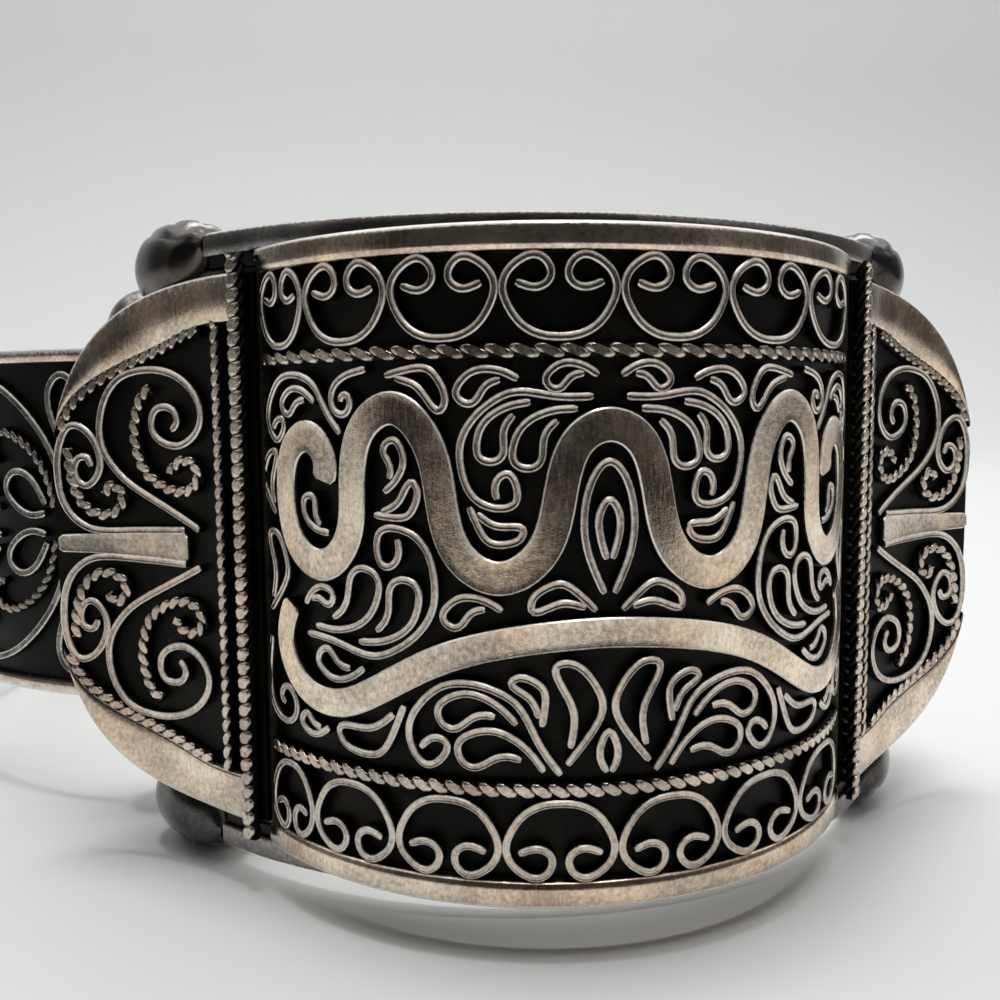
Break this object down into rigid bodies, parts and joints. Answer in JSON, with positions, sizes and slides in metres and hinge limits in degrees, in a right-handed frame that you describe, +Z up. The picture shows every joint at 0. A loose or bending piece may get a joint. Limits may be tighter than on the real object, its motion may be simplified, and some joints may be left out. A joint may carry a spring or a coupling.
{
  "type": "hinged bracelet",
  "caption": "Wide hinged cuff bracelet of aged silver with a raised filigree front panel, flared side wings, bead ends and a scrollwork rear arm that swings open.",
  "frame": {"origin": "middle of the footprint of the open bracelet, on the surface that it stands on", "axes": "+Z up along the wrist and the hinge pin, -Y out of the middle of the front panel, -X towards the hinge"},
  "size_m": [0.0922, 0.0938, 0.0466],
  "materials": {
    "silver": "aged silver, rubbed on the wires and black in the ground between them",
    "worn_silver": "aged silver, worn bright and scratched on its raised faces",
    "dark_silver": "oxidised silver, dark grey with a dull gloss"
  },
  "bodies": {
    "front": {"front_cuff": "dark_silver", "centre_panel": "worn_silver", "left_wing": "silver", "right_wing": "silver", "left_rope": "worn_silver", "right_rope": "worn_silver", "bead_top_left": "dark_silver", "bead_foot_left": "dark_silver", "bead_top_right": "dark_silver", "bead_foot_right": "dark_silver", "hinge_pin": "dark_silver", "catch_pin": "dark_silver"},
    "rear_arm": {"rear_band": "silver", "catch_jaw": "dark_silver", "end_post": "dark_silver"}
  },
  "joints": [
    {"name": "arm_hinge", "type": "hinge", "parent": "front", "child": "rear_arm", "pos_m": [-0.0203, -0.01687, 0.0232], "axis": [0, 0, 1], "range_deg": [-62, 28]}
  ]
}
